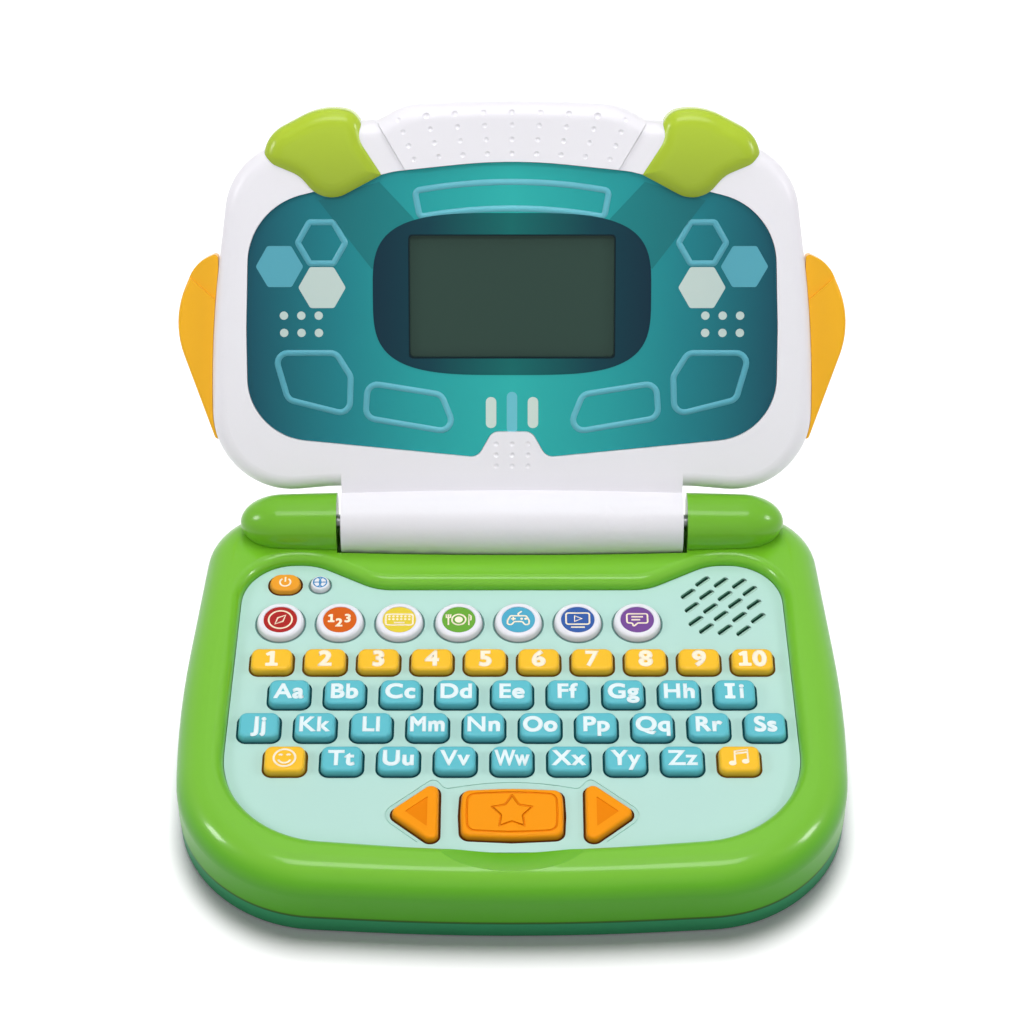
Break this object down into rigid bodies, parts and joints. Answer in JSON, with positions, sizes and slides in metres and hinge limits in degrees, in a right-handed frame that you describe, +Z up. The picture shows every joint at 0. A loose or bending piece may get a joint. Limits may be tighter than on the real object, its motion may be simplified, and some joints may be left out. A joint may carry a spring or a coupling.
{
  "type": "toy laptop computer",
  "caption": "Clamshell toy laptop with a recessed keyboard of sprung keys, round mode buttons, a hinged lid with a small screen window, corner caps and a dimpled carry grip.",
  "frame": {"origin": "middle of the base's footprint, on the plane of the flat band that it rests on", "axes": "+Z up, +X to the user's right, -Y towards the user, so the hinge runs along X at the rear; the lid is stored open"},
  "size_m": [0.255, 0.2718, 0.1661],
  "materials": {
    "green_plastic": "satin moulded, fine texture",
    "dark_green_plastic": "matt moulded",
    "mint_plastic": "satin moulded",
    "yellow_key": "gloss moulded with printed legends",
    "teal_key": "gloss moulded with printed legends",
    "orange_key": "gloss moulded",
    "white_button": "gloss moulded with a printed disc",
    "white_plastic": "satin moulded",
    "lime_plastic": "high gloss moulded",
    "amber_plastic": "satin moulded",
    "screen_print": "printed from behind, high gloss",
    "lcd": "dull polariser over a grey screen",
    "board": "lacquered laminate",
    "silicone": "soft matt",
    "speaker_frame": "dull black",
    "cell_can": "plain wrapped can",
    "contact_steel": "nickel plated spring steel",
    "screw_steel": "zinc plated",
    "pin_steel": "drawn wire"
  },
  "bodies": {
    "base": {"base_upper_shell": "green_plastic", "base_lower_shell": "dark_green_plastic", "keyboard_panel": "mint_plastic", "battery_door": "dark_green_plastic", "battery_cells": "cell_can", "battery_contacts": "contact_steel", "base_screws": "screw_steel", "main_circuit_board": "board", "speaker": "speaker_frame", "key_dome_mat": "silicone", "hinge_pins": "pin_steel"},
    "lid": {"lid_front_bezel": "white_plastic", "lid_back_shell": "white_plastic", "screen_overlay": "screen_print", "lcd_module": "lcd", "corner_caps": "lime_plastic", "side_wings": "amber_plastic", "handle_grip": "white_plastic", "lid_screws": "screw_steel"},
    "count_button_body": {"count_button": "white_button"},
    "food_button_body": {"food_button": "white_button"},
    "game_button_body": {"game_button": "white_button"},
    "globe_button_body": {"globe_button": "white_button"},
    "key_a_body": {"key_a": "teal_key"},
    "key_b_body": {"key_b": "teal_key"},
    "key_c_body": {"key_c": "teal_key"},
    "key_d_body": {"key_d": "teal_key"},
    "key_e_body": {"key_e": "teal_key"},
    "key_f_body": {"key_f": "teal_key"},
    "key_g_body": {"key_g": "teal_key"},
    "key_h_body": {"key_h": "teal_key"},
    "key_i_body": {"key_i": "teal_key"},
    "key_j_body": {"key_j": "teal_key"},
    "key_k_body": {"key_k": "teal_key"},
    "key_l_body": {"key_l": "teal_key"},
    "key_m_body": {"key_m": "teal_key"},
    "key_n_body": {"key_n": "teal_key"},
    "key_o_body": {"key_o": "teal_key"},
    "key_p_body": {"key_p": "teal_key"},
    "key_q_body": {"key_q": "teal_key"},
    "key_r_body": {"key_r": "teal_key"},
    "key_s_body": {"key_s": "teal_key"},
    "key_t_body": {"key_t": "teal_key"},
    "key_u_body": {"key_u": "teal_key"},
    "key_v_body": {"key_v": "teal_key"},
    "key_w_body": {"key_w": "teal_key"},
    "key_x_body": {"key_x": "teal_key"},
    "key_y_body": {"key_y": "teal_key"},
    "key_z_body": {"key_z": "teal_key"},
    "left_arrow_key_body": {"left_arrow_key": "orange_key"},
    "music_key_body": {"music_key": "yellow_key"},
    "number_keys_body": {"number_keys": "yellow_key"},
    "power_button_body": {"power_button": "orange_key"},
    "right_arrow_key_body": {"right_arrow_key": "orange_key"},
    "show_button_body": {"show_button": "white_button"},
    "smile_key_body": {"smile_key": "yellow_key"},
    "star_key_body": {"star_key": "orange_key"},
    "talk_button_body": {"talk_button": "white_button"},
    "travel_button_body": {"travel_button": "white_button"},
    "type_button_body": {"type_button": "white_button"}
  },
  "joints": [
    {"name": "lid_hinge", "type": "hinge", "parent": "base", "child": "lid", "pos_m": [0, 0.0775, 0.035], "axis": [1, 0, 0], "range_deg": [0, 125]},
    {"name": "count_button_press", "type": "slide", "parent": "base", "child": "count_button_body", "axis": [0, 0, -1], "range_m": [0, 0.0015], "stiffness_N_per_m": 600},
    {"name": "food_button_press", "type": "slide", "parent": "base", "child": "food_button_body", "axis": [0, 0, -1], "range_m": [0, 0.0015], "stiffness_N_per_m": 600},
    {"name": "game_button_press", "type": "slide", "parent": "base", "child": "game_button_body", "axis": [0, 0, -1], "range_m": [0, 0.0015], "stiffness_N_per_m": 600},
    {"name": "globe_button_press", "type": "slide", "parent": "base", "child": "globe_button_body", "axis": [0, 0, -1], "range_m": [0, 0.0015], "stiffness_N_per_m": 600},
    {"name": "key_a_press", "type": "slide", "parent": "base", "child": "key_a_body", "axis": [0, 0, -1], "range_m": [0, 0.0015], "stiffness_N_per_m": 600},
    {"name": "key_b_press", "type": "slide", "parent": "base", "child": "key_b_body", "axis": [0, 0, -1], "range_m": [0, 0.0015], "stiffness_N_per_m": 600},
    {"name": "key_c_press", "type": "slide", "parent": "base", "child": "key_c_body", "axis": [0, 0, -1], "range_m": [0, 0.0015], "stiffness_N_per_m": 600},
    {"name": "key_d_press", "type": "slide", "parent": "base", "child": "key_d_body", "axis": [0, 0, -1], "range_m": [0, 0.0015], "stiffness_N_per_m": 600},
    {"name": "key_e_press", "type": "slide", "parent": "base", "child": "key_e_body", "axis": [0, 0, -1], "range_m": [0, 0.0015], "stiffness_N_per_m": 600},
    {"name": "key_f_press", "type": "slide", "parent": "base", "child": "key_f_body", "axis": [0, 0, -1], "range_m": [0, 0.0015], "stiffness_N_per_m": 600},
    {"name": "key_g_press", "type": "slide", "parent": "base", "child": "key_g_body", "axis": [0, 0, -1], "range_m": [0, 0.0015], "stiffness_N_per_m": 600},
    {"name": "key_h_press", "type": "slide", "parent": "base", "child": "key_h_body", "axis": [0, 0, -1], "range_m": [0, 0.0015], "stiffness_N_per_m": 600},
    {"name": "key_i_press", "type": "slide", "parent": "base", "child": "key_i_body", "axis": [0, 0, -1], "range_m": [0, 0.0015], "stiffness_N_per_m": 600},
    {"name": "key_j_press", "type": "slide", "parent": "base", "child": "key_j_body", "axis": [0, 0, -1], "range_m": [0, 0.0015], "stiffness_N_per_m": 600},
    {"name": "key_k_press", "type": "slide", "parent": "base", "child": "key_k_body", "axis": [0, 0, -1], "range_m": [0, 0.0015], "stiffness_N_per_m": 600},
    {"name": "key_l_press", "type": "slide", "parent": "base", "child": "key_l_body", "axis": [0, 0, -1], "range_m": [0, 0.0015], "stiffness_N_per_m": 600},
    {"name": "key_m_press", "type": "slide", "parent": "base", "child": "key_m_body", "axis": [0, 0, -1], "range_m": [0, 0.0015], "stiffness_N_per_m": 600},
    {"name": "key_n_press", "type": "slide", "parent": "base", "child": "key_n_body", "axis": [0, 0, -1], "range_m": [0, 0.0015], "stiffness_N_per_m": 600},
    {"name": "key_o_press", "type": "slide", "parent": "base", "child": "key_o_body", "axis": [0, 0, -1], "range_m": [0, 0.0015], "stiffness_N_per_m": 600},
    {"name": "key_p_press", "type": "slide", "parent": "base", "child": "key_p_body", "axis": [0, 0, -1], "range_m": [0, 0.0015], "stiffness_N_per_m": 600},
    {"name": "key_q_press", "type": "slide", "parent": "base", "child": "key_q_body", "axis": [0, 0, -1], "range_m": [0, 0.0015], "stiffness_N_per_m": 600},
    {"name": "key_r_press", "type": "slide", "parent": "base", "child": "key_r_body", "axis": [0, 0, -1], "range_m": [0, 0.0015], "stiffness_N_per_m": 600},
    {"name": "key_s_press", "type": "slide", "parent": "base", "child": "key_s_body", "axis": [0, 0, -1], "range_m": [0, 0.0015], "stiffness_N_per_m": 600},
    {"name": "key_t_press", "type": "slide", "parent": "base", "child": "key_t_body", "axis": [0, 0, -1], "range_m": [0, 0.0015], "stiffness_N_per_m": 600},
    {"name": "key_u_press", "type": "slide", "parent": "base", "child": "key_u_body", "axis": [0, 0, -1], "range_m": [0, 0.0015], "stiffness_N_per_m": 600},
    {"name": "key_v_press", "type": "slide", "parent": "base", "child": "key_v_body", "axis": [0, 0, -1], "range_m": [0, 0.0015], "stiffness_N_per_m": 600},
    {"name": "key_w_press", "type": "slide", "parent": "base", "child": "key_w_body", "axis": [0, 0, -1], "range_m": [0, 0.0015], "stiffness_N_per_m": 600},
    {"name": "key_x_press", "type": "slide", "parent": "base", "child": "key_x_body", "axis": [0, 0, -1], "range_m": [0, 0.0015], "stiffness_N_per_m": 600},
    {"name": "key_y_press", "type": "slide", "parent": "base", "child": "key_y_body", "axis": [0, 0, -1], "range_m": [0, 0.0015], "stiffness_N_per_m": 600},
    {"name": "key_z_press", "type": "slide", "parent": "base", "child": "key_z_body", "axis": [0, 0, -1], "range_m": [0, 0.0015], "stiffness_N_per_m": 600},
    {"name": "left_arrow_key_press", "type": "slide", "parent": "base", "child": "left_arrow_key_body", "axis": [0, 0, -1], "range_m": [0, 0.0015], "stiffness_N_per_m": 900},
    {"name": "music_key_press", "type": "slide", "parent": "base", "child": "music_key_body", "axis": [0, 0, -1], "range_m": [0, 0.0015], "stiffness_N_per_m": 600},
    {"name": "number_keys_press", "type": "slide", "parent": "base", "child": "number_keys_body", "axis": [0, 0, -1], "range_m": [0, 0.0015], "stiffness_N_per_m": 4000},
    {"name": "power_button_press", "type": "slide", "parent": "base", "child": "power_button_body", "axis": [0, 0, -1], "range_m": [0, 0.0015], "stiffness_N_per_m": 600},
    {"name": "right_arrow_key_press", "type": "slide", "parent": "base", "child": "right_arrow_key_body", "axis": [0, 0, -1], "range_m": [0, 0.0015], "stiffness_N_per_m": 900},
    {"name": "show_button_press", "type": "slide", "parent": "base", "child": "show_button_body", "axis": [0, 0, -1], "range_m": [0, 0.0015], "stiffness_N_per_m": 600},
    {"name": "smile_key_press", "type": "slide", "parent": "base", "child": "smile_key_body", "axis": [0, 0, -1], "range_m": [0, 0.0015], "stiffness_N_per_m": 600},
    {"name": "star_key_press", "type": "slide", "parent": "base", "child": "star_key_body", "axis": [0, 0, -1], "range_m": [0, 0.0015], "stiffness_N_per_m": 900},
    {"name": "talk_button_press", "type": "slide", "parent": "base", "child": "talk_button_body", "axis": [0, 0, -1], "range_m": [0, 0.0015], "stiffness_N_per_m": 600},
    {"name": "travel_button_press", "type": "slide", "parent": "base", "child": "travel_button_body", "axis": [0, 0, -1], "range_m": [0, 0.0015], "stiffness_N_per_m": 600},
    {"name": "type_button_press", "type": "slide", "parent": "base", "child": "type_button_body", "axis": [0, 0, -1], "range_m": [0, 0.0015], "stiffness_N_per_m": 600}
  ]
}
